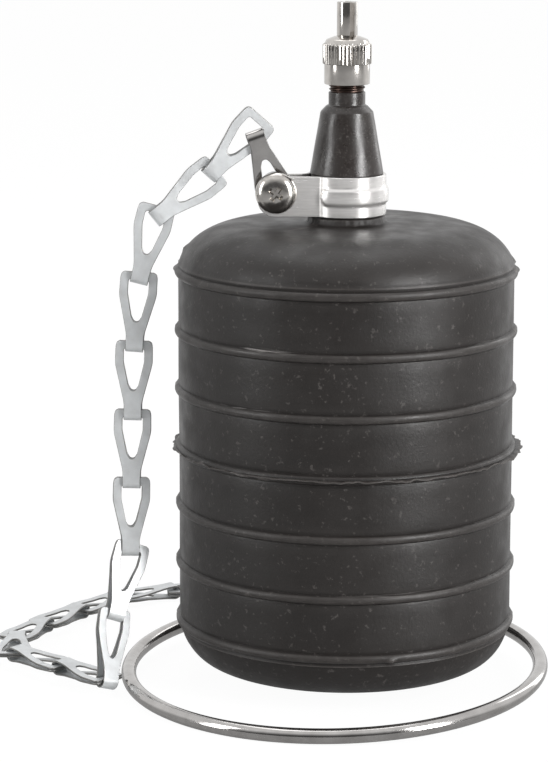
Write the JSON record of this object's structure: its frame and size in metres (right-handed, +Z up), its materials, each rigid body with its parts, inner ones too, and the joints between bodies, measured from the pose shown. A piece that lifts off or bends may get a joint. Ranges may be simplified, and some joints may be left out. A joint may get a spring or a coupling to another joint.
{
  "type": "inflatable pipe plug",
  "caption": "Ribbed rubber bladder that seals a pipe when inflated, with a capped valve, a band clamp on its neck, a chain of folded links and a pull ring.",
  "frame": {"origin": "on the bladder's axis, on the flat spot of its underside, at floor level", "axes": "+Z up along the bladder's axis to the valve, -Y towards the side with the clamp's screw head, -X towards the hanging chain"},
  "size_m": [0.1219, 0.1185, 0.1462],
  "materials": {
    "bladder_rubber": "matt, moulded",
    "stem_rubber": "semi-gloss, moulded",
    "seal_rubber": "matt",
    "brass": "turned",
    "spring_steel": "drawn wire",
    "nickel_plate": "bright plated",
    "polished_steel": "polished",
    "zinc_plate": "satin plated, stamped sheet"
  },
  "bodies": {
    "plug": {"bladder": "bladder_rubber", "valve_stem": "stem_rubber", "valve_tube": "brass", "core_housing": "brass", "core_gasket": "seal_rubber", "core_spring": "spring_steel", "clamp_band": "polished_steel", "clamp_screw": "nickel_plate", "clamp_washer": "zinc_plate", "clamp_nut": "zinc_plate", "chain_link_01": "zinc_plate", "chain_link_02": "zinc_plate", "chain_link_03": "zinc_plate", "chain_link_04": "zinc_plate", "chain_link_05": "zinc_plate", "chain_link_06": "zinc_plate", "chain_link_07": "zinc_plate", "chain_link_08": "zinc_plate", "chain_link_09": "zinc_plate", "chain_link_10": "zinc_plate", "chain_link_11": "zinc_plate", "chain_link_12": "zinc_plate", "chain_link_13": "zinc_plate", "chain_link_14": "zinc_plate", "chain_link_15": "zinc_plate", "chain_link_16": "zinc_plate", "chain_link_17": "zinc_plate", "chain_link_18": "zinc_plate", "chain_link_19": "zinc_plate", "chain_link_20": "zinc_plate", "chain_link_21": "zinc_plate", "pull_ring": "polished_steel"},
    "cap_seal": {"cap_gasket": "seal_rubber"},
    "cap": {"valve_cap": "nickel_plate"},
    "core": {"core_pin": "brass", "core_cup": "seal_rubber"}
  },
  "joints": [
    {"name": "cap_lift", "type": "slide", "parent": "plug", "child": "cap_seal", "axis": [0, 0, 1], "range_m": [0, 0.00635]},
    {"name": "cap_turn", "type": "hinge", "parent": "cap_seal", "child": "cap", "pos_m": [0, 0, 0.1355], "axis": [0, 0, 1], "range_deg": [0, 2880]},
    {"name": "pin_press", "type": "slide", "parent": "plug", "child": "core", "axis": [0, 0, -1], "range_m": [0, 0.0012], "stiffness_N_per_m": 1500, "springref_m": -0.002, "deforming": ["core_spring"]}
  ],
  "couplings": [
    {"joint": "cap_turn", "follows": "cap_lift", "rad_per_m": 7915.8}
  ]
}
